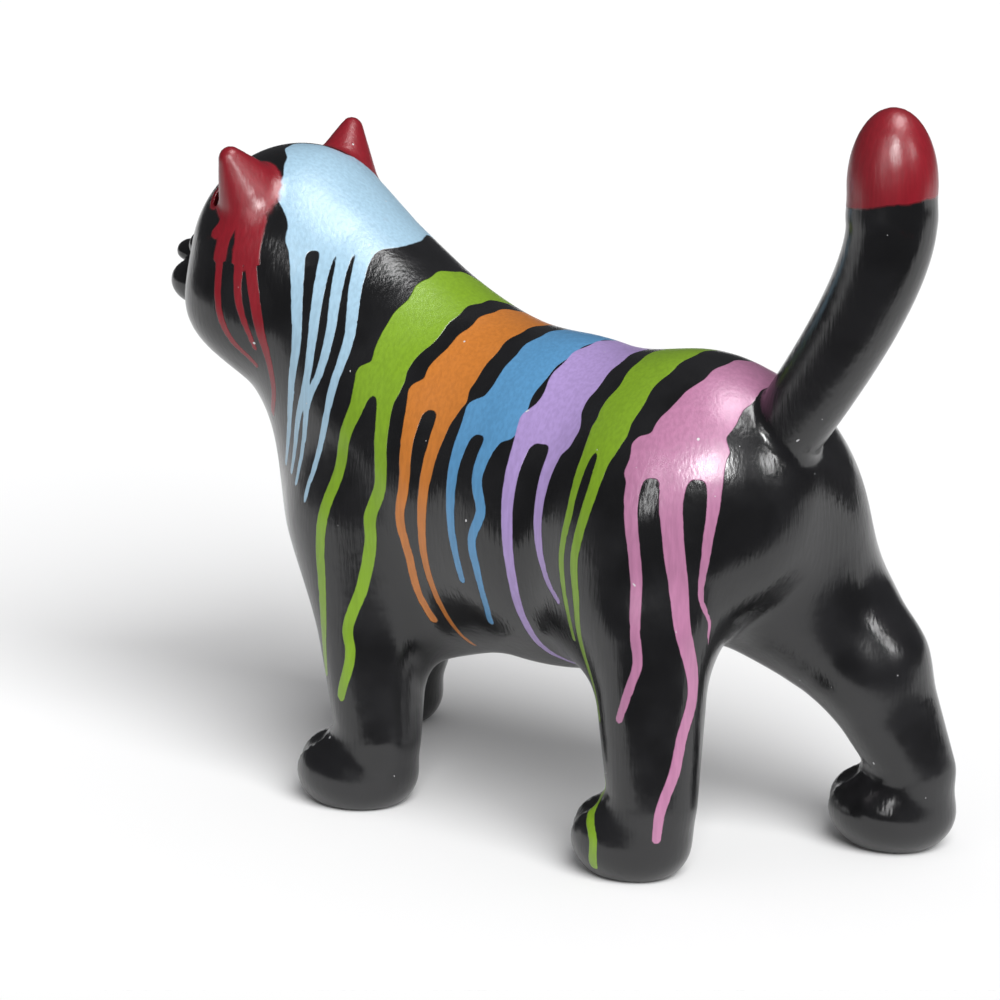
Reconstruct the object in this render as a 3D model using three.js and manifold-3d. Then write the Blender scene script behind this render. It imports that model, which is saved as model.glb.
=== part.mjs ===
import Module from 'manifold-3d';
import * as THREE from 'three';
import { SimplifyModifier } from 'three/addons/modifiers/SimplifyModifier.js';

// A chubby cat figurine in mid-stride, cast in one piece, in millimetres.
// The cat faces -Y, its left side is +X, and its four soles stand flat on z = 0.

// Driving sizes: the length drives the whole form, the width sets how far apart the paws
// stand and the height sets how far up the tail reaches.
const LENGTH = 293;
const WIDTH = 107.4;
const HEIGHT = 240;
// The skin is sampled on a grid of this many layers to the height, then thinned to TRIANGLES.
const LAYERS = 90;
const TRIANGLES = 9600;

// Lacquer
const LACQUER_COLOR = 0x17171a;
const LACQUER_ROUGHNESS = 0.22;
const LACQUER_METALNESS = 0;

// The form is drawn FORM_LENGTH units long: every length and place below is in those units.
const FORM_LENGTH = 122.1;
const UNIT = LENGTH / FORM_LENGTH;
const PAW_REACH = 7.6;
const STANCE = WIDTH / UNIT / 2 - PAW_REACH;
const TAIL_TOP = HEIGHT / UNIT;
const TAIL_Y = 50.3;

// Trunk
const CHEST = { centre: [0, -22.5, 39.5], radii: [17, 21.5, 23], blend: 1 };
const BELLY = { centre: [0, 0, 42], radii: [18.5, 29.5, 22], blend: 6 };
const RUMP = { centre: [0, 21.5, 47], radii: [16.3, 18.5, 18], blend: 5 };

// Head
const NECK = { from: [0, -19.5, 49], to: [0, -39.3, 62.6], radii: [16.2, 15.4], blend: 8 };
const SKULL = { centre: [0, -45.5, 68], radii: [16, 12.5, 15], blend: 4 };
const CHEEK = { centre: [8, -46.5, 62.5], radii: [8, 8, 6], blend: 5 };

// Face
const SNOUT = { centre: [0, -53.5, 62], radii: [8.4, 8.5, 5.8], blend: 2.5 };
const NOSE_BRIDGE = { from: [0, -53, 72], to: [0, -61.6, 66], radii: [4.2, 2.2], blend: 3 };
const LIP = { centre: [2.5, -60.8, 62.6], radii: [3.3, 4.3, 3.2], blend: 1 };
const CHIN = { centre: [0, -59, 58.6], radii: [3.4, 3.4, 2.6], blend: 1.2 };
const NOSE_TIP = { centre: [0, -64.2, 66], radii: [2.3, 2.1, 1.6], blend: 0.6 };
const EYE_SOCKET = { centre: [6.6, -60.2, 69.2], radii: [4.2, 3, 3], blend: 1.5 };
const EYE = { centre: [6.4, -55.6, 69.2], radii: [3, 2.3, 2.2], blend: 0.4 };

// Legs
const LEFT_HAUNCH = { centre: [8.5, 19.5, 40], radii: [11.5, 13, 19], pitch: -7, blend: 4 };
const RIGHT_HAUNCH = { centre: [-8.5, 27, 42], radii: [11, 13.5, 17.5], pitch: 15, blend: 4 };
const LEFT_SHANK = { from: [12.5, 23.5, 32], to: [STANCE, 25.8, 10], radii: [7.8, 5.7], blend: 4 };
const RIGHT_THIGH = { from: [-10, 26, 37], to: [-13, 39.5, 24], radii: [12.5, 7.5], blend: 3 };
const RIGHT_SHANK = { from: [-13, 39.5, 24], to: [-STANCE, 46, 10.5], radii: [7.5, 5.1], blend: 2 };
const LEFT_FORELEG = { from: [10, -25, 37], to: [STANCE, -19.3, 9.5], radii: [9, 5.6], blend: 6 };
const RIGHT_FORELEG = { from: [-10, -31, 37], to: [-STANCE, -38.6, 10.5], radii: [8.5, 5.8], blend: 6 };

// Paws, with grooves between the toes that run down the front
const PAWS = [
  { centre: [STANCE, 22.4, 4.5], radii: [7.0, 8.2, 6.2] },
  { centre: [-STANCE, 42.3, 4.8], radii: [7.5, 8.7, 6.2] },
  { centre: [STANCE, -23.0, 4.0], radii: [PAW_REACH, 8.4, 6.0] },
  { centre: [-STANCE, -42.4, 4.0], radii: [7.0, 8.2, 6.0] },
];
const PAW_BLEND = 2.5;
const TOE_PLACES = [-1, 0, 1];
const TOE_SPREAD = 0.46;
const GROOVE_WIDTH = 0.9;
const GROOVE_FLATNESS = 1.6;
const GROOVE_START = 0.35;
const GROOVE_FADE = 1.5;
const GROOVE_BLEND = 0.7;

// The tail is a curved tube with a rounded tip.
const TAIL_ROOT = [0, 32.8, 54];
const TAIL_RADII = [4.8, 5.6];
const TAIL_BLEND = 1.2;
const TIP_HEIGHT = 9.6;
const TIP_OVERLAP = 4.4;
const TIP_BLEND = 1;
const BEND_HEIGHT = 22.8;

// An ear is a rounded cone, a little flatter than it is wide, hollowed from the front.
const EAR_BASE = [7.6, -44.6, 74.6];
const EAR_TIP = [13.2, -46.4, 84.5];
const EAR_ACROSS = [-0.79, 0, 0.61];
const EAR_FLATNESS = 1.15;
const EAR_RADII = [6.4, 1.7];
const EAR_BLEND = 0.8;
const HOLLOW_SHIFT = 2.4;
const HOLLOW_RADII = [4.4, 0.9];
const HOLLOW_START = 1.5;
const HOLLOW_END = 2.4;
const HOLLOW_BLEND = 0.5;
// A distance measured in flattened space is too long, and this share of it is safe.
const FLAT_SHARE = 0.85;

// Exactness of the skin
const FAR = 1000;
const TINY = 1e-6;
const FIELD_MARGIN = 1;
const CURVE_GUESSES = 8;
const CURVE_STEPS = 4;
const SNAP_STEPS = 4;
const SNAP_SHARE = 0.4;
const SLOPE_STEP = 0.02;
const LEAST_SLOPE = 0.25;
const LEAST_BEND = 0.3;

// Small vector helpers
const plus = (a, b) => [a[0] + b[0], a[1] + b[1], a[2] + b[2]];
const minus = (a, b) => [a[0] - b[0], a[1] - b[1], a[2] - b[2]];
const dot = (a, b) => a[0] * b[0] + a[1] * b[1] + a[2] * b[2];
const length = (a) => Math.sqrt(dot(a, a));
const scaled = (a, share) => [a[0] * share, a[1] * share, a[2] * share];
const unitOf = (a) => scaled(a, 1 / length(a));
const cross = (a, b) => [
  a[1] * b[2] - a[2] * b[1],
  a[2] * b[0] - a[0] * b[2],
  a[0] * b[1] - a[1] * b[0],
];

// Rounding: the smaller or the larger of two distances, with the crease between them rounded.
function smoothMin(a, b, blend) {
  const h = Math.max(blend - Math.abs(a - b), 0) / blend;
  return Math.min(a, b) - h * h * blend * 0.25;
}
const smoothMax = (a, b, blend) => -smoothMin(-a, -b, blend);

// A shape has the distance of a point from its surface, negative inside, and the balls, each
// a centre and a radius, that hold it.
function ellipsoid({ centre, radii, pitch = 0 }) {
  const angle = THREE.MathUtils.degToRad(pitch);
  const c = Math.cos(angle);
  const s = Math.sin(angle);
  const distance = (p) => {
    const q = minus(p, centre);
    const y = q[1] * c + q[2] * s;
    const z = q[2] * c - q[1] * s;
    const a = [q[0] / radii[0], y / radii[1], z / radii[2]];
    const b = [a[0] / radii[0], a[1] / radii[1], a[2] / radii[2]];
    const reach = length(a);
    return (reach * (reach - 1)) / Math.max(length(b), TINY);
  };
  return { distance, balls: [[centre, Math.max(...radii)]] };
}

// A limb is two balls of different radii and the cone that touches both.
function limb({ from, to, radii }) {
  const [fromRadius, toRadius] = radii;
  const axis = minus(to, from);
  const span = dot(axis, axis);
  const narrowing = fromRadius - toRadius;
  const flank = span - narrowing * narrowing;
  const side = Math.sign(narrowing) * narrowing * narrowing;
  const distance = (p) => {
    const q = minus(p, from);
    const along = dot(q, axis);
    const beyond = along - span;
    const off = minus(scaled(q, span), scaled(axis, along));
    const away = dot(off, off);
    if (Math.sign(beyond) * flank * beyond * beyond * span > side * away) {
      return Math.sqrt(away + beyond * beyond * span) / span - toRadius;
    }
    if (Math.sign(along) * flank * along * along * span < side * away) {
      return Math.sqrt(away + along * along * span) / span - fromRadius;
    }
    return (Math.sqrt((away * flank) / span) + along * narrowing) / span - fromRadius;
  };
  return { distance, balls: [[from, fromRadius], [to, toRadius]] };
}

// A tube follows the curve of a start, a pull and an end, and its radius changes evenly.
function tube(start, pull, end, [startRadius, endRadius]) {
  const curve = new THREE.QuadraticBezierCurve3(
    new THREE.Vector3(...start),
    new THREE.Vector3(...pull),
    new THREE.Vector3(...end),
  );
  const guesses = curve.getPoints(CURVE_GUESSES);
  const first = scaled(minus(pull, start), 2);
  const second = minus(minus(end, pull), minus(pull, start));
  const place = (t) => start.map((value, i) => value + first[i] * t + second[i] * t * t);
  const distance = (p) => {
    const gaps = guesses.map((guess) => length(minus(p, guess.toArray())));
    let t = gaps.indexOf(Math.min(...gaps)) / CURVE_GUESSES;
    for (let step = 0; step < CURVE_STEPS; step += 1) {
      const slope = plus(first, scaled(second, 2 * t));
      const error = minus(place(t), p);
      const steep = dot(slope, slope);
      const bend = Math.max(steep + 2 * dot(error, second), LEAST_BEND * steep);
      t = THREE.MathUtils.clamp(t - dot(error, slope) / bend, 0, 1);
    }
    return length(minus(p, place(t))) - THREE.MathUtils.lerp(startRadius, endRadius, t);
  };
  return { distance, balls: [[start, startRadius], [pull, endRadius], [end, endRadius]] };
}

// Across, through and up an ear, as a point in the ear's own flattened space.
function earSpace() {
  const rise = minus(EAR_TIP, EAR_BASE);
  const up = unitOf(rise);
  const across = unitOf(minus(EAR_ACROSS, scaled(up, dot(EAR_ACROSS, up))));
  const back = cross(across, up);
  const into = (p) => {
    const q = minus(p, EAR_BASE);
    return [dot(q, across), dot(q, back) * EAR_FLATNESS, dot(q, up)];
  };
  return { into, tall: length(rise) };
}

function ear() {
  const { into, tall } = earSpace();
  const cone = limb({ from: [0, 0, 0], to: [0, 0, tall - EAR_RADII[1]], radii: EAR_RADII });
  return { distance: (p) => cone.distance(into(p)) * FLAT_SHARE, balls: [[EAR_TIP, EAR_RADII[1]]] };
}

function earHollow() {
  const { into, tall } = earSpace();
  const forward = -HOLLOW_SHIFT * EAR_FLATNESS;
  const from = [0, forward, HOLLOW_START];
  const hollow = limb({ from, to: [0, forward, tall - HOLLOW_END], radii: HOLLOW_RADII });
  return { distance: (p) => hollow.distance(into(p)) * FLAT_SHARE, balls: [] };
}

// Joining and carving: each step takes the distance so far and gives it with one more shape.
const join = (shape, blend) => ({
  apply: (d, p) => smoothMin(d, shape.distance(p), blend),
  balls: shape.balls,
});
const carve = (distance, blend) => ({
  apply: (d, p) => smoothMax(d, -distance(p), blend),
  balls: [],
});
const mirrored = ({ distance, balls }) => ({
  distance: (p) => distance([Math.abs(p[0]), p[1], p[2]]),
  balls: balls.flatMap(([[x, y, z], radius]) => [[[x, y, z], radius], [[-x, y, z], radius]]),
});
const bulge = (form) => join(ellipsoid(form), form.blend);
const pairOfBulges = (form) => join(mirrored(ellipsoid(form)), form.blend);
const pairOfHollows = (form) => carve(mirrored(ellipsoid(form)).distance, form.blend);
const stretch = (form) => join(limb(form), form.blend);

function paw(form) {
  const { centre, radii } = form;
  const bulb = ellipsoid(form);
  const groove = (place) => (p) => {
    const across = p[0] - (centre[0] + place * radii[0] * TOE_SPREAD);
    const channel = Math.hypot(across, GROOVE_FLATNESS * bulb.distance(p)) - GROOVE_WIDTH;
    return smoothMax(channel, p[1] - (centre[1] - radii[1] * GROOVE_START), GROOVE_FADE);
  };
  return [join(bulb, PAW_BLEND), ...TOE_PLACES.map((place) => carve(groove(place), GROOVE_BLEND))];
}

function tail() {
  const pull = [0, TAIL_Y, TAIL_TOP - BEND_HEIGHT];
  const tip = [0, TAIL_Y, TAIL_TOP - TIP_HEIGHT];
  const end = minus(tip, [0, 0, TIP_OVERLAP]);
  const radius = TAIL_RADII[1];
  return [
    join(tube(TAIL_ROOT, pull, end, TAIL_RADII), TAIL_BLEND),
    bulge({ centre: tip, radii: [radius, radius, TIP_HEIGHT], blend: TIP_BLEND }),
  ];
}

const STEPS = [
  ...[CHEST, BELLY, RUMP].map(bulge),
  stretch(NECK),
  bulge(SKULL),
  pairOfBulges(CHEEK),
  bulge(SNOUT),
  stretch(NOSE_BRIDGE),
  pairOfBulges(LIP),
  bulge(CHIN),
  bulge(NOSE_TIP),
  pairOfHollows(EYE_SOCKET),
  pairOfBulges(EYE),
  ...[LEFT_HAUNCH, RIGHT_HAUNCH].map(bulge),
  ...[LEFT_SHANK, RIGHT_THIGH, RIGHT_SHANK, LEFT_FORELEG, RIGHT_FORELEG].map(stretch),
  ...PAWS.flatMap(paw),
  ...tail(),
  join(mirrored(ear()), EAR_BLEND),
  carve(mirrored(earHollow()).distance, HOLLOW_BLEND),
];

function distance(p) {
  return STEPS.reduce((d, step) => step.apply(d, p), FAR);
}

// The field is the box round the balls of every shape.
const BALLS = STEPS.flatMap((step) => step.balls);
const AXES = [0, 1, 2];
const FIELD_LOW = AXES.map((i) => Math.min(...BALLS.map(([at, radius]) => at[i] - radius)) - FIELD_MARGIN);
const FIELD_HIGH = AXES.map((i) => Math.max(...BALLS.map(([at, radius]) => at[i] + radius)) + FIELD_MARGIN);
const CELL = (FIELD_HIGH[2] - FIELD_LOW[2]) / LAYERS;
const SNAP_LIMIT = SNAP_SHARE * CELL;

// The skin: the distance is sampled on a grid, every cell is split into six tetrahedra round
// its long diagonal, and each tetrahedron that the surface crosses gives one or two triangles.
const AXIS_ORDERS = [
  [0, 1, 2],
  [1, 2, 0],
  [2, 0, 1],
  [0, 2, 1],
  [2, 1, 0],
  [1, 0, 2],
];
const EVEN_ORDERS = 3;

function gridPoint(cell) {
  return cell.map((n, i) => FIELD_LOW[i] + n * CELL);
}

function sampleGrid() {
  const counts = AXES.map((i) => Math.ceil((FIELD_HIGH[i] - FIELD_LOW[i]) / CELL) + 1);
  const strides = [1, counts[0], counts[0] * counts[1]];
  const values = new Float32Array(counts[0] * counts[1] * counts[2]);
  for (let k = 0; k < counts[2]; k += 1) {
    for (let j = 0; j < counts[1]; j += 1) {
      for (let i = 0; i < counts[0]; i += 1) {
        values[i + j * strides[1] + k * strides[2]] = distance(gridPoint([i, j, k]));
      }
    }
  }
  return { counts, strides, values };
}

// The corners of the six tetrahedra of a cell, as steps in the grid's array.
function tetrahedra(strides) {
  return AXIS_ORDERS.map((order, n) => {
    const steps = [0];
    order.forEach((axis) => steps.push(steps.at(-1) + strides[axis]));
    return { steps, even: n < EVEN_ORDERS };
  });
}

// How many pairs of the list stand in falling order, which tells an odd shuffle from an even one.
function isOdd(list) {
  const falls = list.flatMap((a, i) => list.slice(i + 1).filter((b) => b < a));
  return falls.length % 2 === 1;
}

function skin() {
  const { counts, strides, values } = sampleGrid();
  const tets = tetrahedra(strides);
  const vertexOf = new Map();
  const places = [];
  const triangles = [];

  const locate = (at) => gridPoint([
    at % counts[0],
    Math.floor(at / strides[1]) % counts[1],
    Math.floor(at / strides[2]),
  ]);
  const crossing = (inner, outer) => {
    const key = Math.min(inner, outer) * values.length + Math.max(inner, outer);
    if (!vertexOf.has(key)) {
      const share = values[inner] / (values[inner] - values[outer]);
      const from = locate(inner);
      vertexOf.set(key, places.length / 3);
      places.push(...minus(from, scaled(minus(from, locate(outer)), share)));
    }
    return vertexOf.get(key);
  };
  const cut = (at, { steps, even }) => {
    const inner = [0, 1, 2, 3].filter((n) => values[at + steps[n]] < 0);
    const outer = [0, 1, 2, 3].filter((n) => values[at + steps[n]] >= 0);
    if (inner.length === 0 || outer.length === 0) {
      return;
    }
    const rings = inner.length === 2
      ? [[0, 0], [0, 1], [1, 1], [1, 0]]
      : inner.flatMap((unusedInner, i) => outer.map((unusedOuter, j) => [i, j]));
    const ring = rings.map(([i, j]) => crossing(at + steps[inner[i]], at + steps[outer[j]]));
    if (isOdd([...inner, ...outer]) === even) {
      ring.reverse();
    }
    triangles.push(ring[0], ring[1], ring[2]);
    if (ring.length === 4) {
      triangles.push(ring[0], ring[2], ring[3]);
    }
  };

  for (let k = 0; k < counts[2] - 1; k += 1) {
    for (let j = 0; j < counts[1] - 1; j += 1) {
      for (let i = 0; i < counts[0] - 1; i += 1) {
        const at = i + j * strides[1] + k * strides[2];
        if (Math.abs(values[at]) < 2 * CELL) {
          tets.forEach((tet) => cut(at, tet));
        }
      }
    }
  }
  return { places, triangles };
}

// Moves a point along the slope of the distance until it lies on the surface.
function snapped(start) {
  let p = start;
  for (let step = 0; step < SNAP_STEPS; step += 1) {
    const d = distance(p);
    const slope = AXES.map((axis) => {
      const ahead = [...p];
      ahead[axis] += SLOPE_STEP;
      return (distance(ahead) - d) / SLOPE_STEP;
    });
    const steep = Math.max(dot(slope, slope), LEAST_SLOPE);
    const move = THREE.MathUtils.clamp(d / steep, -SNAP_LIMIT, SNAP_LIMIT);
    p = minus(p, scaled(slope, move));
  }
  return p;
}

// The skin thinned to TRIANGLES, with every vertex that is left moved onto the surface.
async function thinnedSkin() {
  const { places, triangles } = skin();
  const fine = new THREE.BufferGeometry();
  fine.setAttribute('position', new THREE.Float32BufferAttribute(places, 3));
  fine.setIndex(triangles);
  const spare = (places.length / 3) * (1 - TRIANGLES / (triangles.length / 3));
  const geometry = await new SimplifyModifier().modify(fine, spare);
  const position = geometry.getAttribute('position');
  for (let i = 0; i < position.count; i += 1) {
    const place = [position.getX(i), position.getY(i), position.getZ(i)];
    position.setXYZ(i, ...scaled(snapped(place), UNIT));
  }
  return geometry;
}

// The paws are formed a little too deep, and the floor plane cuts their soles flat.
async function figurineGeometry() {
  const formed = await thinnedSkin();
  const wasm = await Module();
  wasm.setup();
  const solid = new wasm.Manifold(new wasm.Mesh({
    numProp: 3,
    vertProperties: new Float32Array(formed.getAttribute('position').array),
    triVerts: new Uint32Array(formed.getIndex().array),
  }));
  const standing = solid.trimByPlane([0, 0, 1], 0).getMesh();
  const geometry = new THREE.BufferGeometry();
  geometry.setAttribute('position', new THREE.BufferAttribute(standing.vertProperties, 3));
  geometry.setIndex(new THREE.BufferAttribute(standing.triVerts, 1));
  geometry.computeBoundingBox();
  const middle = geometry.boundingBox.getCenter(new THREE.Vector3());
  geometry.translate(-middle.x, -middle.y, 0);
  geometry.computeVertexNormals();
  return geometry;
}

const lacquer = new THREE.MeshStandardMaterial({
  color: LACQUER_COLOR,
  roughness: LACQUER_ROUGHNESS,
  metalness: LACQUER_METALNESS,
});
const figurine = new THREE.Mesh(await figurineGeometry(), lacquer);
figurine.name = 'cat_figurine';

const model = new THREE.Group();
model.add(figurine);

export default model;
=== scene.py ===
import math

import bmesh
import bpy
import numpy as np
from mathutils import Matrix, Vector


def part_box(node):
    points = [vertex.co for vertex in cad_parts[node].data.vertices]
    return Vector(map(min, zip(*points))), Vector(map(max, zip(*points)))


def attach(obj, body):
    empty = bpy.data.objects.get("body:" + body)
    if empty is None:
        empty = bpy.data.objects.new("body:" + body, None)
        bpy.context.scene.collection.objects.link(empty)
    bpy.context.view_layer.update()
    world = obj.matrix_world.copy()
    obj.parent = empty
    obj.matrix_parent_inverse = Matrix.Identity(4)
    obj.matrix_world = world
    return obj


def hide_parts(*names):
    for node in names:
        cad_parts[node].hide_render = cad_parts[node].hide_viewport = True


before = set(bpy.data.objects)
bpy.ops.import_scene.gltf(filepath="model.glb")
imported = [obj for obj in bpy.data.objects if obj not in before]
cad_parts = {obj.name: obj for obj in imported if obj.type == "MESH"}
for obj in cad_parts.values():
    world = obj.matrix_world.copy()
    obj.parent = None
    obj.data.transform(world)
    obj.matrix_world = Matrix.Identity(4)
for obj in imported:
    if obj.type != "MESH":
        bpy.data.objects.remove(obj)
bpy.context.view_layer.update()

# The form is drawn in units of a hundredth of the figurine's height, and lengths and places
# are in those units where no comment says metres. The cat faces -Y, its left side is +X.
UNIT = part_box("cat_figurine")[1][2] / 100
STANCE = 14.775
TAIL_TOP = 100.0
TAIL_Y = 50.3

# A bulge has a centre, three radii and a blend, and it may have a pitch in degrees.
# A stretch has a start, an end, a radius at each of them and a blend.
CHEST = ((0, -22.5, 39.5), (17, 21.5, 23), 1)
BELLY = ((0, 0, 42), (18.5, 29.5, 22), 6)
RUMP = ((0, 21.5, 47), (16.3, 18.5, 18), 5)

NECK = ((0, -19.5, 49), (0, -39.3, 62.6), (16.2, 15.4), 8)
SKULL = ((0, -45.5, 68), (16, 12.5, 15), 4)
CHEEK = ((8, -46.5, 62.5), (8, 8, 6), 5)

SNOUT = ((0, -53.5, 62), (8.4, 8.5, 5.8), 2.5)
NOSE_BRIDGE = ((0, -53, 72), (0, -61.6, 66), (4.2, 2.2), 3)
LIP = ((2.5, -60.8, 62.6), (3.3, 4.3, 3.2), 1)
CHIN = ((0, -59, 58.6), (3.4, 3.4, 2.6), 1.2)
NOSE_TIP = ((0, -64.2, 66), (2.3, 2.1, 1.6), 0.6)
EYE_SOCKET = ((6.6, -60.2, 69.2), (4.2, 3, 3), 1.5)
EYE = ((6.4, -55.6, 69.2), (3, 2.3, 2.2), 0.4)

LEFT_HAUNCH = ((8.5, 19.5, 40), (11.5, 13, 19), 4, -7)
RIGHT_HAUNCH = ((-8.5, 27, 42), (11, 13.5, 17.5), 4, 15)
LEFT_SHANK = ((12.5, 23.5, 32), (STANCE, 25.8, 10), (7.8, 5.7), 4)
RIGHT_THIGH = ((-10, 26, 37), (-13, 39.5, 24), (12.5, 7.5), 3)
RIGHT_SHANK = ((-13, 39.5, 24), (-STANCE, 46, 10.5), (7.5, 5.1), 2)
LEFT_FORELEG = ((10, -25, 37), (STANCE, -19.3, 9.5), (9, 5.6), 6)
RIGHT_FORELEG = ((-10, -31, 37), (-STANCE, -38.6, 10.5), (8.5, 5.8), 6)

# Paws, with grooves between the toes that run down the front
PAW_BLEND = 2.5
PAWS = [
    ((STANCE, 22.4, 4.5), (7.0, 8.2, 6.2), PAW_BLEND),
    ((-STANCE, 42.3, 4.8), (7.5, 8.7, 6.2), PAW_BLEND),
    ((STANCE, -23.0, 4.0), (7.6, 8.4, 6.0), PAW_BLEND),
    ((-STANCE, -42.4, 4.0), (7.0, 8.2, 6.0), PAW_BLEND),
]
TOE_PLACES = (-1, 0, 1)
TOE_SPREAD = 0.46
GROOVE_WIDTH = 0.9
GROOVE_FLATNESS = 1.6
GROOVE_START = 0.35
GROOVE_FADE = 1.5
GROOVE_BLEND = 0.7

# The tail is a curved tube with a rounded tip.
TAIL_ROOT = (0, 32.8, 54)
TAIL_RADII = (4.8, 5.6)
TAIL_BLEND = 1.2
TIP_HEIGHT = 9.6
TIP_OVERLAP = 4.4
TIP_BLEND = 1
BEND_HEIGHT = 22.8

# An ear is a rounded cone, a little flatter than it is wide, hollowed from the front.
EAR_BASE = np.array((7.6, -44.6, 74.6))
EAR_TIP = np.array((13.2, -46.4, 84.5))
EAR_ACROSS = np.array((-0.79, 0, 0.61))
EAR_FLATNESS = 1.15
EAR_RADII = (6.4, 1.7)
EAR_BLEND = 0.8
HOLLOW_SHIFT = 2.4
HOLLOW_RADII = (4.4, 0.9)
HOLLOW_START = 1.5
HOLLOW_END = 2.4
HOLLOW_BLEND = 0.5
# A distance measured in flattened space is too long, and this share of it is safe.
FLAT_SHARE = 0.85
FLOOR_ROUNDING = 0.6

# Exactness of the skin
FAR = 1000
TINY = 1e-6
CURVE_GUESSES = 9
CURVE_STEPS = 4
LEAST_BEND = 0.3
SLOPE_STEP = 0.05
SNAP_STEPS = 4
SNAP_LIMIT = 0.5
LEAST_SLOPE = 0.25
CHUNK = 150000


# Shapes: each returns the distance of every point from the surface, negative inside.
def smooth_min(a, b, blend):
    h = np.maximum(blend - np.abs(a - b), 0) / blend
    return np.minimum(a, b) - h * h * blend * 0.25


def smooth_max(a, b, blend):
    return -smooth_min(-a, -b, blend)


def ellipsoid(p, centre, radii, pitch=0.0):
    q = p - np.array(centre, p.dtype)
    if pitch:
        c, s = math.cos(math.radians(pitch)), math.sin(math.radians(pitch))
        q = np.stack([q[:, 0], q[:, 1] * c + q[:, 2] * s, q[:, 2] * c - q[:, 1] * s], 1)
    a = q / np.array(radii, p.dtype)
    b = a / np.array(radii, p.dtype)
    reach = np.sqrt((a * a).sum(1))
    return reach * (reach - 1) / np.maximum(np.sqrt((b * b).sum(1)), TINY)


def limb(p, start, end, start_radius, end_radius):
    """Two balls of different radii and the cone that touches both."""
    start, end = np.array(start, p.dtype), np.array(end, p.dtype)
    axis = end - start
    span = float(axis @ axis)
    narrowing = start_radius - end_radius
    flank = span - narrowing ** 2
    side = math.copysign(narrowing ** 2, narrowing)
    q = p - start
    along = q @ axis
    beyond = along - span
    off = q * span - along[:, None] * axis
    away = (off * off).sum(1)
    d = (np.sqrt(away * flank / span) + along * narrowing) / span - start_radius
    low = np.sign(along) * flank * along * along * span < side * away
    d = np.where(low, np.sqrt(away + along * along * span) / span - start_radius, d)
    high = np.sign(beyond) * flank * beyond * beyond * span > side * away
    return np.where(high, np.sqrt(away + beyond * beyond * span) / span - end_radius, d)


def tube(p, start, pull, end, start_radius, end_radius):
    """A round tube along the curve of a start, a pull and an end."""
    start, pull, end = (np.array(v, p.dtype) for v in (start, pull, end))
    first, second = 2 * (pull - start), end - 2 * pull + start
    nearest = np.full(len(p), np.inf, p.dtype)
    t = np.zeros(len(p), p.dtype)
    for guess in np.linspace(0, 1, CURVE_GUESSES, dtype=p.dtype):
        off = p - (start + first * guess + second * guess * guess)
        gap = (off * off).sum(1)
        t = np.where(gap < nearest, guess, t)
        nearest = np.minimum(gap, nearest)
    for _ in range(CURVE_STEPS):
        slope = first + 2 * second * t[:, None]
        error = start + first * t[:, None] + second * (t * t)[:, None] - p
        steep = (slope * slope).sum(1)
        bend = np.maximum(steep + 2 * (error @ second), LEAST_BEND * steep)
        t = np.clip(t - (error * slope).sum(1) / bend, 0, 1)
    off = start + first * t[:, None] + second * (t * t)[:, None] - p
    return np.sqrt((off * off).sum(1)) - (start_radius + (end_radius - start_radius) * t)


def mirrored(p):
    s = p.copy()
    s[:, 0] = np.abs(s[:, 0])
    return s


def unit(v):
    return v / np.linalg.norm(v)


def in_ear_space(s):
    """Points across, through and up an ear, in its own flattened space, and its height."""
    rise = EAR_TIP - EAR_BASE
    up = unit(rise)
    across = unit(EAR_ACROSS - up * (EAR_ACROSS @ up))
    back = np.cross(across, up) * EAR_FLATNESS
    q = s - EAR_BASE.astype(s.dtype)
    return q @ np.stack([across, back, up], 1).astype(s.dtype), np.linalg.norm(rise)


def ear(s):
    q, tall = in_ear_space(s)
    return limb(q, (0, 0, 0), (0, 0, tall - EAR_RADII[1]), *EAR_RADII) * FLAT_SHARE


def ear_hollow(s):
    q, tall = in_ear_space(s)
    forward = -HOLLOW_SHIFT * EAR_FLATNESS
    low, high = (0, forward, HOLLOW_START), (0, forward, tall - HOLLOW_END)
    return limb(q, low, high, *HOLLOW_RADII) * FLAT_SHARE


def bulged(d, p, form):
    centre, radii, blend, *pitch = form
    return smooth_min(d, ellipsoid(p, centre, radii, *pitch), blend)


def stretched(d, p, form):
    start, end, radii, blend = form
    return smooth_min(d, limb(p, start, end, *radii), blend)


def dented(d, p, form):
    centre, radii, blend = form
    return smooth_max(d, -ellipsoid(p, centre, radii), blend)


def trunk(d, p):
    for form in (CHEST, BELLY, RUMP):
        d = bulged(d, p, form)
    return d


def head(d, p, s):
    d = stretched(d, p, NECK)
    d = bulged(d, p, SKULL)
    return bulged(d, s, CHEEK)


def face(d, p, s):
    d = bulged(d, p, SNOUT)
    d = stretched(d, p, NOSE_BRIDGE)
    d = bulged(d, s, LIP)
    d = bulged(d, p, CHIN)
    d = bulged(d, p, NOSE_TIP)
    d = dented(d, s, EYE_SOCKET)
    return bulged(d, s, EYE)


def legs(d, p):
    for form in (LEFT_HAUNCH, RIGHT_HAUNCH):
        d = bulged(d, p, form)
    for form in (LEFT_SHANK, RIGHT_THIGH, RIGHT_SHANK, LEFT_FORELEG, RIGHT_FORELEG):
        d = stretched(d, p, form)
    return d


def paw(d, p, form):
    """A paw with grooves between its toes, which run down the front of it."""
    centre, radii, _ = form
    bulb = ellipsoid(p, centre, radii)
    d = bulged(d, p, form)
    front = p[:, 1] - (centre[1] - radii[1] * GROOVE_START)
    for place in TOE_PLACES:
        across = p[:, 0] - (centre[0] + place * radii[0] * TOE_SPREAD)
        groove = np.hypot(across, GROOVE_FLATNESS * bulb) - GROOVE_WIDTH
        d = smooth_max(d, -smooth_max(groove, front, GROOVE_FADE), GROOVE_BLEND)
    return d


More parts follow.
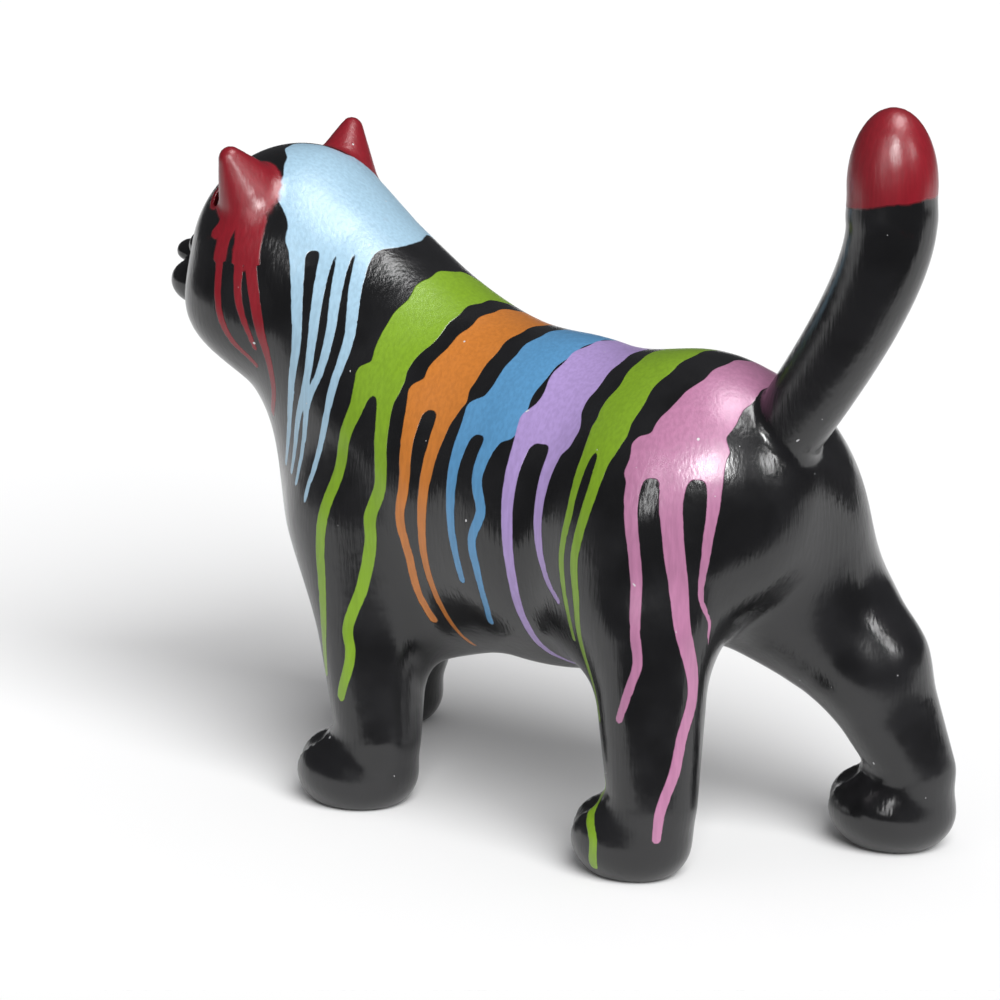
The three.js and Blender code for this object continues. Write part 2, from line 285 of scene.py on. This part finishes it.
def tail(d, p):
    tip = TAIL_TOP - TIP_HEIGHT
    pull, end = (0, TAIL_Y, TAIL_TOP - BEND_HEIGHT), (0, TAIL_Y, tip - TIP_OVERLAP)
    radius = TAIL_RADII[1]
    d = smooth_min(d, tube(p, TAIL_ROOT, pull, end, *TAIL_RADII), TAIL_BLEND)
    return bulged(d, p, ((0, TAIL_Y, tip), (radius, radius, TIP_HEIGHT), TIP_BLEND))


def body(p):
    """The figurine without its ears and before its soles are cut flat."""
    s = mirrored(p)
    d = np.full(len(p), FAR, np.float32)
    d = trunk(d, p)
    d = head(d, p, s)
    d = face(d, p, s)
    d = legs(d, p)
    for form in PAWS:
        d = paw(d, p, form)
    return tail(d, p)


def distance(p):
    p = np.asarray(p, np.float32)
    s = mirrored(p)
    d = smooth_min(body(p), ear(s), EAR_BLEND)
    d = smooth_max(d, -ear_hollow(s), HOLLOW_BLEND)
    return smooth_max(d, -p[:, 2], FLOOR_ROUNDING)


def in_chunks(function, p):
    return np.concatenate([function(p[i:i + CHUNK]) for i in range(0, len(p), CHUNK)])


def slope(p):
    """The distance's gradient at every point."""
    sides = []
    for axis in range(3):
        step = np.zeros(3, np.float32)
        step[axis] = SLOPE_STEP
        sides.append((distance(p + step) - distance(p - step)) / (2 * SLOPE_STEP))
    return np.stack(sides, 1)


def snapped(p):
    """Every point moved along the slope until it lies on the surface."""
    for _ in range(SNAP_STEPS):
        g = slope(p)
        steep = np.maximum((g * g).sum(1), LEAST_SLOPE)
        p = p - g * np.clip(distance(p) / steep, -SNAP_LIMIT, SNAP_LIMIT)[:, None]
    return p


# The skin is sampled on a grid whose lines lie closer together at the head. Each row is an
# axis, x, y or z: where it starts and ends, and where its fine stretch does.
COARSE = 0.78
FINE = 0.45
GRID = [
    (-25, 25, 1, 1),
    (-69, 59, -68, -50),
    (-2, 102, 56, 72),
]


def grid_lines(low, high, fine_low, fine_high):
    below = np.arange(low, fine_low, COARSE)
    fine = np.arange(fine_low, fine_high, FINE)
    above = np.arange(fine_high, high + COARSE, COARSE)
    return np.concatenate([below, fine, above])


def skin():
    """Surface nets: one vertex for each cell that the surface crosses, as points and quads."""
    lines = [grid_lines(*row) for row in GRID]
    shape = tuple(len(line) for line in lines)
    grid = np.stack(np.meshgrid(*lines, indexing="ij"), -1).reshape(-1, 3).astype(np.float32)
    d = in_chunks(distance, grid).reshape(shape)
    inside = d < 0
    corners = [(i, j, k) for i in (0, 1) for j in (0, 1) for k in (0, 1)]

    def corner_of(values, corner, cells=None):
        if cells is not None:
            return values[tuple((cells + corner).T)]
        return values[tuple(slice(c, n - 1 + c) for c, n in zip(corner, shape))]

    count = sum(corner_of(inside, corner).astype(np.int8) for corner in corners)
    crossed = (count > 0) & (count < len(corners))
    cells = np.argwhere(crossed)
    index = np.full(crossed.shape, -1)
    index[crossed] = np.arange(len(cells))

    total = np.zeros((len(cells), 3))
    edges = np.zeros(len(cells))
    for start in corners:
        for axis in range(3):
            if start[axis]:
                continue
            end = list(start)
            end[axis] = 1
            d_start, d_end = corner_of(d, start, cells), corner_of(d, end, cells)
            cut = (d_start < 0) != (d_end < 0)
            share = np.where(cut, d_start / np.where(cut, d_start - d_end, 1), 0)
            place = np.tile(np.array(start, float), (len(cells), 1))
            place[:, axis] += share
            total[cut] += place[cut]
            edges[cut] += 1
    place = cells + total / edges[:, None]
    points = [np.interp(place[:, a], np.arange(shape[a]), lines[a]) for a in range(3)]

    quads = []
    for axis in range(3):
        u, v = (axis + 1) % 3, (axis + 2) % 3
        flips = np.argwhere(np.diff(inside.astype(np.int8), axis=axis) != 0)
        step_u, step_v = np.eye(3, dtype=int)[u], np.eye(3, dtype=int)[v]
        ring = [flips - step_u - step_v, flips - step_v, flips, flips - step_u]
        quad = np.stack([index[tuple(c.T)] for c in ring], 1)
        outward = inside[tuple(flips.T)]
        quad[~outward] = quad[~outward][:, ::-1]
        quads.append(quad)
    return np.stack(points, 1).astype(np.float32), np.concatenate(quads)


# Paint: every colour is kept as a distance from its edge, negative where the paint is.
NO_PAINT = 4.0
PAINT_BLEND = 1.0
# Faces nearer to an edge of paint than this are split.
SPLIT_REACH = 0.75

# A band has its front and back edge along y at TOP, the same at LOW, and its lowest z.
TOP, LOW = 64, 54
OVERHANG = 1.2
BAND_BLEND = 1.2
BANDS = [
    ("lime", (-20.6, -13.9), (-20.6, -16.2), 56.2),
    ("orange", (-11.7, -5.0), (-12.9, -6.4), 55.4),
    ("blue", (-2.0, 4.7), (-3.8, 3.8), 53.6),
    ("violet", (5.1, 12.0), (4.5, 12.5), 53.8),
    ("lime", (15.0, 21.6), (15.6, 20.6), 54.8),
    ("pink", (26.1, 32.0), (23.2, 32.8), 52.8),
]
PATCH_EDGE = (-42.1, 81.2)
PATCH_LEAN = (0.82, 0.57)
PATCH_PEAK = 2.2
PATCH_PEAK_WIDTH = 4.0
PATCH_LOW = 72.2
PATCH_BACK = -10
PATCH_BLEND = 1.5
# An edge wobbles along z and along x, by a size and at a rate for each.
BAND_WOBBLE = ((0.25, 0.9), (0.15, 1.3))
PATCH_WOBBLE = ((0.2, 1.1), (0.12, 1.9))
EARS_ABOVE = 70
EAR_PAINT = 0.1
HOLLOW_PAINT = 0.6
TAIL_TIP = 89.0
TAIL_TIP_LEAN = 0.17

# The runs of the left side: colour, half width at the top and at the foot, and (y, z)
# places on the way down.
LEFT_RUNS = [
    ("red", 0.4, 0.4, [(-45.6, 75.0), (-46.7, 73.4)]),
    ("red", 0.6, 0.35, [(-44.7, 75), (-45.2, 72), (-45, 68), (-44.2, 63), (-42.9, 59.5), (-40.2, 56.4)]),
    ("red", 0.75, 0.3, [(-42.4, 75.5), (-42.1, 70), (-41.6, 66), (-40.6, 62.5), (-39.6, 59)]),
    ("red", 0.8, 0.45, [(-41.2, 75.5), (-40.4, 70), (-39.3, 66), (-38.3, 61), (-37.2, 56.5),
                        (-37, 53.5), (-38.4, 50)]),
    ("sky", 0.9, 0.45, [(-35.4, 73), (-33.3, 66), (-32.4, 61), (-32.8, 56.3), (-33.8, 49.2), (-35.2, 44)]),
    ("sky", 0.8, 0.45, [(-31.9, 73), (-30.5, 66), (-30, 61.5), (-30, 57), (-31.8, 49.7), (-32.9, 43.5)]),
    ("sky", 0.8, 0.4, [(-30.2, 73), (-28.4, 67), (-27.5, 61.5), (-28, 57.5), (-29.4, 54),
                       (-30.1, 49), (-31.1, 42.5)]),
    ("sky", 0.9, 0.4, [(-28.4, 73), (-26.5, 68), (-24.7, 62), (-25.4, 56), (-26.2, 50.5), (-28.4, 41)]),
    ("lime", 0.85, 0.55, [(-20.4, 58), (-20.9, 54.6), (-22.2, 50.5), (-22.6, 46), (-24.3, 40.5),
                        (-25, 36), (-25, 29.5), (-25.1, 18)]),
    ("lime", 0.85, 0.6, [(-17, 58), (-16.2, 51), (-15.9, 44.4), (-17.3, 40.7), (-17.4, 37.4),
                         (-18.9, 30.4), (-20.6, 24), (-20.2, 22.6), (-21.4, 15.7)]),
    ("orange", 0.8, 0.45, [(-12.1, 57), (-12.2, 50), (-12, 46.4), (-12.8, 41), (-12, 35.4),
                           (-11.9, 31.5), (-11.1, 26.5)]),
    ("orange", 0.85, 0.3, [(-7.2, 57), (-8.8, 46.8), (-9.4, 36), (-8.9, 30), (-8.2, 22.5)]),
    ("blue", 0.8, 0.45, [(-3.2, 56), (-4.4, 50), (-4.3, 43.7), (-3.5, 37), (-3.2, 34.4)]),
    ("blue", 0.8, 0.4, [(1.5, 56), (-0.3, 48), (0.8, 44.6), (-0.6, 40.5), (-0.2, 36), (-0.1, 31.8),
                        (-0.5, 28.6)]),
    ("violet", 0.85, 0.4, [(5.5, 56), (4.8, 50), (5, 41.4), (5.3, 36), (5.4, 30), (6.2, 25.3), (9, 22.5)]),
    ("violet", 0.8, 0.4, [(11, 56), (9.6, 49), (9.6, 44.8), (10.4, 40), (11.8, 36.7), (13.4, 35)]),
    ("lime", 0.6, 0.35, [(16.7, 57), (15.8, 52), (15.4, 47.3), (14.5, 40.8), (15, 36), (16, 30.5)]),
    ("lime", 0.75, 0.35, [(19.4, 57), (18.6, 50), (17.9, 46.6), (16.9, 41.3), (17.2, 36.5),
                          (17.7, 30), (20.4, 20.8)]),
    ("lime", 0.4, 0.6, [(20.5, 12.5), (19.7, 8.7), (21.6, 5.5), (21.3, 2.2)]),
    ("pink", 0.8, 0.45, [(24.3, 56), (24.3, 51), (25.6, 42.7), (26.1, 37.7), (26.6, 33), (26.8, 29),
                         (26.2, 27), (24.6, 22)]),
    ("pink", 1.3, 0.5, [(28.6, 56), (29, 50), (29.6, 46), (30.3, 38), (31, 33), (31.3, 27), (31.3, 23),
                        (31.1, 20), (30.7, 14.5), (30, 11), (29.4, 6.7)]),
    ("pink", 0.8, 0.15, [(31.9, 56), (33.1, 51), (32.8, 44), (31.9, 37.5), (32.2, 34.5), (31.8, 31)]),
]
# The side that the photo hides has runs of its own: colour, top and foot.
RIGHT_RUNS = [
    ("red", (-45, 75.5), (-43, 62)),
    ("red", (-42, 75.5), (-40, 53)),
    ("sky", (-35.2, 73), (-34.5, 52)),
    ("sky", (-32.2, 73), (-31, 45)),
    ("sky", (-29.2, 73), (-28, 58)),
    ("lime", (-19.8, 58), (-22, 38)),
    ("lime", (-17.2, 58), (-17.5, 27)),
    ("orange", (-11.8, 57), (-12, 44)),
    ("orange", (-7.5, 57), (-7.5, 30)),
    ("blue", (-2.6, 56), (-2.8, 33)),
    ("blue", (2.8, 56), (2, 40)),
    ("violet", (5.8, 56), (6, 42)),
    ("violet", (10.8, 56), (10.6, 29)),
    ("lime", (16.8, 57), (17.2, 36)),
    ("lime", (19.6, 57), (20.2, 45)),
    ("pink", (24.8, 56), (25.5, 41)),
    ("pink", (28.6, 56), (29.8, 25)),
    ("pink", (31.8, 56), (34.2, 37)),
]
RIGHT_WIDTH = (0.85, 0.5)
# Runs are drawn this many times as wide as listed, and they flare by this much at the top.
WIDENING = {"red": 1.15, "sky": 1.05}
FLARE = {"red": 0.0, "sky": 0.3}
USUAL_WIDENING = 1.2
USUAL_FLARE = 0.9
FLARE_LENGTH = 2.6
SWAY = 0.35
SWAY_SPACING = 5
RUN_STEP = 0.8
RUN_REACH = 3
RUN_BLEND = 0.3
# A run is laid on the skin from outside, in steps that are a share of the distance left.
OUTSIDE = 27.0
LIFT_STEPS = 60
LIFT_SHARE = 0.85
LIFT_LIMITS = (-1, 3)
COLOURS = {
    "sky": (0.335, 0.51, 0.64),
    "lime": (0.19, 0.335, 0.013),
    "orange": (0.51, 0.166, 0.023),
    "blue": (0.086, 0.264, 0.484),
    "violet": (0.37, 0.262, 0.54),
    "pink": (0.42, 0.17, 0.30),
    "red": (0.225, 0.005, 0.013),
}
rng = np.random.default_rng(7)


def through(places):
    """A smooth path through places, with even points, and each point's share of the way."""
    places = np.array(places, float)
    spans = np.linalg.norm(np.diff(places, axis=0), axis=1)
    known = np.concatenate([[0], np.cumsum(spans)])
    slopes = np.gradient(places, known, axis=0)
    at = np.linspace(0, known[-1], max(int(known[-1] / RUN_STEP) + 1, 3))
    i = np.clip(np.searchsorted(known, at) - 1, 0, len(spans) - 1)
    t = ((at - known[i]) / spans[i])[:, None]
    span = spans[i][:, None]
    path = ((2 * t ** 3 - 3 * t ** 2 + 1) * places[i] + (t ** 3 - 2 * t ** 2 + t) * span * slopes[i]
            + (3 * t ** 2 - 2 * t ** 3) * places[i + 1] + (t ** 3 - t ** 2) * span * slopes[i + 1])
    return path, at / known[-1]


def wandering(top, foot):
    """A run that sways a little on its way down."""
    share = np.linspace(0, 1, max(int((top[1] - foot[1]) / SWAY_SPACING), 2) + 1)
    drift = rng.normal(0, SWAY, len(share)) * (share > 0)
    return [(top[0] + (foot[0] - top[0]) * t + w, top[1] + (foot[1] - top[1]) * t)
            for t, w in zip(share, drift)]


def lifted(path, side):
    """The (y, z) path laid on the given side of the figurine."""
    p = np.column_stack([np.full(len(path), OUTSIDE * side), path]).astype(np.float32)
    for _ in range(LIFT_STEPS):
        p[:, 0] -= side * np.clip(distance(p) * LIFT_SHARE, *LIFT_LIMITS)
        p[:, 0] = side * np.maximum(side * p[:, 0], 0)
    return p


def run_distance(points, path, share, widths, widening, flare):
    """How far points lie outside a run, measured so that it stays smooth along the middle."""
    way = np.concatenate([[0], np.cumsum(np.linalg.norm(np.diff(path, axis=0), axis=1))])
    width = widening * (widths[0] + (widths[1] - widths[0]) * share)
    width = width + flare * np.exp(-way / FLARE_LENGTH)
    best = np.full(len(points), np.inf)
    for a, b, wa, wb in zip(path[:-1], path[1:], width[:-1], width[1:]):
        axis = b - a
        t = np.clip((points - a) @ axis / max(float(axis @ axis), TINY), 0, 1)
        off = points - a - t[:, None] * axis
        w = wa + (wb - wa) * t
        best = np.minimum(best, ((off * off).sum(1) - w * w) / (2 * w))
    return best


def wobble(x, z, waves, shifts=(0, 0)):
    (tall, tall_rate), (wide, wide_rate) = waves
    return tall * np.sin(z * tall_rate + shifts[0]) + wide * np.sin(x * wide_rate + shifts[1])


def band_distance(x, y, z, top, low, foot):
    down = np.clip((TOP - z) / (TOP - LOW), 0, OVERHANG)
    front = top[0] + (low[0] - top[0]) * down
    back = top[1] + (low[1] - top[1]) * down
    sides = np.maximum(front - y, y - back) + wobble(x, z, BAND_WOBBLE, top)
    return smooth_max(sides, foot - z, BAND_BLEND)


def patch_distance(x, y, z):
    """The patch on the nape, whose front edge comes to a soft peak between the ears."""
    front = (PATCH_EDGE[0] - y) * PATCH_LEAN[0] + (PATCH_EDGE[1] - z) * PATCH_LEAN[1]
    front = front - PATCH_PEAK * np.exp(-(x / PATCH_PEAK_WIDTH) ** 2)
    front = front + wobble(x, z, PATCH_WOBBLE)
    return np.maximum(smooth_max(front, PATCH_LOW - z, PATCH_BLEND), y - PATCH_BACK)


def ears_distance(points, z):
    off_the_head = EAR_PAINT - body(points)
    in_the_hollow = ear_hollow(mirrored(points)) - HOLLOW_PAINT
    return np.where(z > EARS_ABOVE, np.minimum(off_the_head, in_the_hollow), NO_PAINT)


def tail_tip_distance(y, z):
    return np.where(y > 0, TAIL_TIP + TAIL_TIP_LEAN * (y - TAIL_Y) - z, NO_PAINT)


def runs_distances(points):
    """For each colour, every point's distance outside its runs."""
    lines = {name: np.full(len(points), NO_PAINT) for name in COLOURS}
    runs = [(name, 1, (wide, thin), places) for name, wide, thin, places in LEFT_RUNS]
    runs += [(name, -1, RIGHT_WIDTH, wandering(top, foot)) for name, top, foot in RIGHT_RUNS]
    for name, side, widths, places in runs:
        path, share = through(places)
        path = lifted(path, side)
        near = ((points > path.min(0) - RUN_REACH) & (points < path.max(0) + RUN_REACH)).all(1)
        widening = WIDENING.get(name, USUAL_WIDENING)
        flare = FLARE.get(name, USUAL_FLARE)
        d = run_distance(points[near], path, share, widths, widening, flare)
        lines[name][near] = smooth_min(lines[name][near], np.minimum(d, NO_PAINT), RUN_BLEND)
    return lines


def paint_distances(points):
    """For each colour, every point's distance outside its paint."""
    x, y, z = points.T.astype(float)
    areas = [(name, band_distance(x, y, z, top, low, foot)) for name, top, low, foot in BANDS]
    areas += [("sky", patch_distance(x, y, z)), ("red", ears_distance(points, z))]
    areas += [("red", tail_tip_distance(y, z)), *runs_distances(points).items()]
    paint = {name: np.full(len(points), NO_PAINT) for name in COLOURS}
    for name, d in areas:
        paint[name] = smooth_min(paint[name], d, PAINT_BLEND)
    return paint


def split_near_paint(points, faces):
    """Faces at an edge of paint are split in four, so that the edge stays crisp."""
    reach = np.min([np.abs(d) for d in paint_distances(points).values()], axis=0)
    near = reach < SPLIT_REACH
    mesh = bpy.data.meshes.new("coarse")
    mesh.from_pydata(points.tolist(), [], faces)
    work = bmesh.new()
    work.from_mesh(mesh)
    bpy.data.meshes.remove(mesh)
    edges = [e for e in work.edges if near[e.verts[0].index] and near[e.verts[1].index]]
    bmesh.ops.subdivide_edges(work, edges=edges, cuts=1, use_grid_fill=True)
    work.verts.index_update()
    points = np.array([v.co for v in work.verts], np.float32)
    faces = [[v.index for v in face.verts] for face in work.faces]
    work.free()
    return points, faces


def figurine_mesh():
    points, quads = skin()
    points, faces = split_near_paint(points, quads.tolist())
    points = snapped(points)
    normals = slope(points)
    normals = normals / np.linalg.norm(normals, axis=1, keepdims=True)
    middle = (points.min(0) + points.max(0)) / 2
    middle[2] = 0
    mesh = bpy.data.meshes.new("figurine")
    mesh.from_pydata(((points - middle) * UNIT).tolist(), [], faces)
    for name, d in paint_distances(points).items():
        layer = mesh.attributes.new(name, "FLOAT", "POINT")
        layer.data.foreach_set("value", d.astype(np.float32))
    mesh.shade_smooth()
    mesh.normals_split_custom_set_from_vertices(normals.tolist())
    return mesh, middle


def mixed(tree, factor, low, high):
    """A colour mix of two inputs, each a socket or a colour."""
    mix = tree.nodes.new("ShaderNodeMix")
    mix.data_type = "RGBA"
    for socket, value in ((mix.inputs[0], factor), (mix.inputs[6], low), (mix.inputs[7], high)):
        if isinstance(value, bpy.types.NodeSocket):
            tree.links.new(value, socket)
        elif isinstance(value, tuple):
            socket.default_value = (*value, 1)
        else:
            socket.default_value = value
    return mix.outputs[2]


def maths(tree, operation, *values):
    node = tree.nodes.new("ShaderNodeMath")
    node.operation = operation
    for socket, value in zip(node.inputs, values):
        if isinstance(value, bpy.types.NodeSocket):
            tree.links.new(value, socket)
        else:
            socket.default_value = value
    return node.outputs[0]


def noise(tree, vector, scale, detail, stretch=None):
    if stretch:
        mapping = tree.nodes.new("ShaderNodeMapping")
        mapping.inputs["Scale"].default_value = stretch
        tree.links.new(vector, mapping.inputs["Vector"])
        vector = mapping.outputs[0]
    node = tree.nodes.new("ShaderNodeTexNoise")
    node.inputs["Scale"].default_value = scale
    node.inputs["Detail"].default_value = detail
    tree.links.new(vector, node.inputs["Vector"])
    return node.outputs["Fac"]


def ramp(tree, value, low, high, to_low=0.0, to_high=1.0):
    node = tree.nodes.new("ShaderNodeMapRange")
    node.interpolation_type = "SMOOTHSTEP"
    for socket, number in zip(node.inputs[1:5], (low, high, to_low, to_high)):
        socket.default_value = number
    tree.links.new(value, node.inputs[0])
    return node.outputs[0]


# The lacquer, from its darker to its lighter clouds, and the dust on it
LACQUER = ((0.006, 0.006, 0.0065), (0.010, 0.010, 0.011))
DUST = (0.55, 0.55, 0.56)
# The noises of the lacquer: scale per metre, detail and, for brush marks, a stretch.
NOISES = {
    "wander": (260, 3),
    "strokes": (900, 3, (1, 1, 0.12)),
    "clouds": (45, 3),
    "waves": (28, 1),
    "dents": (110, 2),
    "dust": (520, 0),
}
CLOUD_RANGE = (0.35, 0.65)
STROKE_RANGE = (0.3, 0.7)
DUST_RANGE = (0.882, 0.892)
# An edge of paint wanders by this much and fades over this much.
EDGE_WANDER = 0.2
EDGE_FADE = 0.07
# Between the brush marks the paint is darker, by this share.
UNDERTONE = 0.86
GLOSS_RANGE = (0.3, 0.7)
ROUGHNESS = (0.16, 0.26)
PAINT_ROUGHNESS = 0.12
# How far each noise lifts the surface, as shares of RELIEF_HEIGHT, which is in metres.
RELIEFS = {"waves": 1.0, "strokes": 0.3, "dents": 0.55, "wander": 0.06}
PAINT_RELIEF = 0.25
RELIEF_STRENGTH = 0.5
RELIEF_HEIGHT = 0.0006
LACQUER_IOR = 1.6


def lacquer_material():
    material = bpy.data.materials.new("painted_lacquer")
    material.use_nodes = True
    tree = material.node_tree
    shader = tree.nodes["Principled BSDF"]
    place = tree.nodes.new("ShaderNodeTexCoord").outputs["Object"]
    noises = {name: noise(tree, place, *settings) for name, settings in NOISES.items()}

    colour = mixed(tree, ramp(tree, noises["clouds"], *CLOUD_RANGE), *LACQUER)
    painted = 0.0
    for name, paint in COLOURS.items():
        edge = tree.nodes.new("ShaderNodeAttribute")
        edge.attribute_name = name
        nudge = maths(tree, "MULTIPLY_ADD", noises["wander"], EDGE_WANDER, -EDGE_WANDER / 2)
        from_edge = maths(tree, "ADD", edge.outputs["Fac"], nudge)
        mask = ramp(tree, from_edge, EDGE_FADE, -EDGE_FADE)
        undertone = tuple(c * UNDERTONE for c in paint)
        tint = mixed(tree, ramp(tree, noises["strokes"], *STROKE_RANGE), undertone, paint)
        colour = mixed(tree, mask, colour, tint)
        painted = maths(tree, "MAXIMUM", painted, mask)
    colour = mixed(tree, ramp(tree, noises["dust"], *DUST_RANGE), colour, DUST)
    tree.links.new(colour, shader.inputs["Base Color"])

    rough = ramp(tree, noises["clouds"], *GLOSS_RANGE, *ROUGHNESS)
    rough = maths(tree, "MULTIPLY_ADD", painted, PAINT_ROUGHNESS, rough)
    tree.links.new(rough, shader.inputs["Roughness"])

    relief = 0.0
    for name, share in RELIEFS.items():
        relief = maths(tree, "MULTIPLY_ADD", noises[name], share, relief)
    relief = maths(tree, "MULTIPLY_ADD", painted, PAINT_RELIEF, relief)
    bump = tree.nodes.new("ShaderNodeBump")
    bump.inputs["Strength"].default_value = RELIEF_STRENGTH
    bump.inputs["Distance"].default_value = RELIEF_HEIGHT
    tree.links.new(relief, bump.inputs["Height"])
    tree.links.new(bump.outputs[0], shader.inputs["Normal"])
    shader.inputs["IOR"].default_value = LACQUER_IOR
    return material


FLOOR_COLOUR = (0.86, 0.86, 0.86)
FLOOR_ROUGHNESS = 0.9


def floor_material():
    material = bpy.data.materials.new("pale_floor")
    material.use_nodes = True
    shader = material.node_tree.nodes["Principled BSDF"]
    shader.inputs["Base Color"].default_value = (*FLOOR_COLOUR, 1)
    shader.inputs["Roughness"].default_value = FLOOR_ROUGHNESS
    shader.inputs["Specular IOR Level"].default_value = 0.0
    return material


# The floor reaches this far towards the camera, away from it and to each side, in metres.
FLOOR_NEAR = 0.17
FLOOR_FAR = 3.0
FLOOR_SIDE = 1.5
# The camera's lens and sensor are in millimetres.
CAMERA_AZIMUTH = 128.5
CAMERA_ELEVATION = 15.8
CAMERA_DISTANCE = 657.9
CAMERA_AIM = (0, -10.66, 39.9)
LENS = 180
SENSOR = 36
# The sun lights floor and paint: azimuth, elevation and breadth in degrees, and strength.
SUN = (151, 42, 45, 3.9)
# The glints are lamps that aim at GLINT_AIM: azimuth, elevation, distance, width and height
# in metres, and watts.
GLINT_AIM = (0, 0, 0.1)
GLINTS = {
    "overhead": (200, 70, 1.4, (0.8, 0.55), 15),
    "haunch": (136, 33, 1.6, (0.2, 0.45), 17),
    "hock": (182, 27, 1.6, (0.2, 0.25), 3.5),
    "tip": (104, 26, 1.3, (0.1, 0.8), 2.6),
}
# The world as the camera, the matt surfaces and the gloss see it
BACKDROP = (1.0, 1.0, 1.0)
SKY_ON_MATT = (0.38, 0.38, 0.385)
SKY_IN_GLOSS = (0.07, 0.07, 0.075)


def toward(azimuth, elevation):
    a, e = math.radians(azimuth), math.radians(elevation)
    return Vector((math.sin(a) * math.cos(e), -math.cos(a) * math.cos(e), math.sin(e)))


def add_floor():
    mesh = bpy.data.meshes.new("floor")
    near, side = toward(CAMERA_AZIMUTH, 0), toward(CAMERA_AZIMUTH + 90, 0)
    corners = [near * y + side * x for x, y in ((-FLOOR_SIDE, FLOOR_NEAR), (-FLOOR_SIDE, -FLOOR_FAR),
                                                (FLOOR_SIDE, -FLOOR_FAR), (FLOOR_SIDE, FLOOR_NEAR))]
    mesh.from_pydata(corners, [], [(0, 1, 2, 3)])
    floor = bpy.data.objects.new("floor", mesh)
    bpy.context.collection.objects.link(floor)
    mesh.materials.append(floor_material())


def add_glint(name, azimuth, elevation, away, size, power):
    """A lamp that shows only as a gleam on the lacquer."""
    light = bpy.data.lights.new(name, "AREA")
    light.shape = "RECTANGLE"
    light.size, light.size_y = size
    light.energy = power
    lamp = bpy.data.objects.new(name, light)
    direction = toward(azimuth, elevation)
    lamp.location = Vector(GLINT_AIM) + direction * away
    lamp.rotation_euler = direction.to_track_quat("Z", "Y").to_euler()
    lamp.visible_diffuse = False
    bpy.context.collection.objects.link(lamp)


def add_sun(azimuth, elevation, breadth, strength):
    sun = bpy.data.lights.new("sun", "SUN")
    sun.angle = math.radians(breadth)
    sun.energy = strength
    lamp = bpy.data.objects.new("sun", sun)
    lamp.rotation_euler = toward(azimuth, elevation).to_track_quat("Z", "Y").to_euler()
    lamp.visible_glossy = False
    bpy.context.collection.objects.link(lamp)


def add_world():
    world = bpy.data.worlds.new("studio")
    bpy.context.scene.world = world
    world.use_nodes = True
    tree = world.node_tree
    background = tree.nodes["Background"]
    rays = tree.nodes.new("ShaderNodeLightPath")
    colour = mixed(tree, rays.outputs["Is Diffuse Ray"], SKY_IN_GLOSS, SKY_ON_MATT)
    colour = mixed(tree, rays.outputs["Is Camera Ray"], colour, BACKDROP)
    tree.links.new(colour, background.inputs["Color"])


def add_camera(middle):
    camera = bpy.data.cameras.new("camera")
    camera.lens = LENS
    camera.sensor_width = SENSOR
    eye = bpy.data.objects.new("camera", camera)
    aim = (Vector(CAMERA_AIM) - Vector(middle.tolist())) * UNIT
    direction = toward(CAMERA_AZIMUTH, CAMERA_ELEVATION)
    eye.location = aim + direction * CAMERA_DISTANCE * UNIT
    eye.rotation_euler = direction.to_track_quat("Z", "Y").to_euler()
    bpy.context.collection.objects.link(eye)
    bpy.context.scene.camera = eye


mesh, middle = figurine_mesh()
figurine = bpy.data.objects.new("painted_figurine", mesh)
bpy.context.collection.objects.link(figurine)
mesh.materials.append(lacquer_material())
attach(figurine, "root")
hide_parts("cat_figurine")

add_camera(middle)
add_floor()
add_sun(*SUN)
for name, settings in GLINTS.items():
    add_glint(name, *settings)
add_world()
bpy.context.scene.view_settings.view_transform = "Standard"
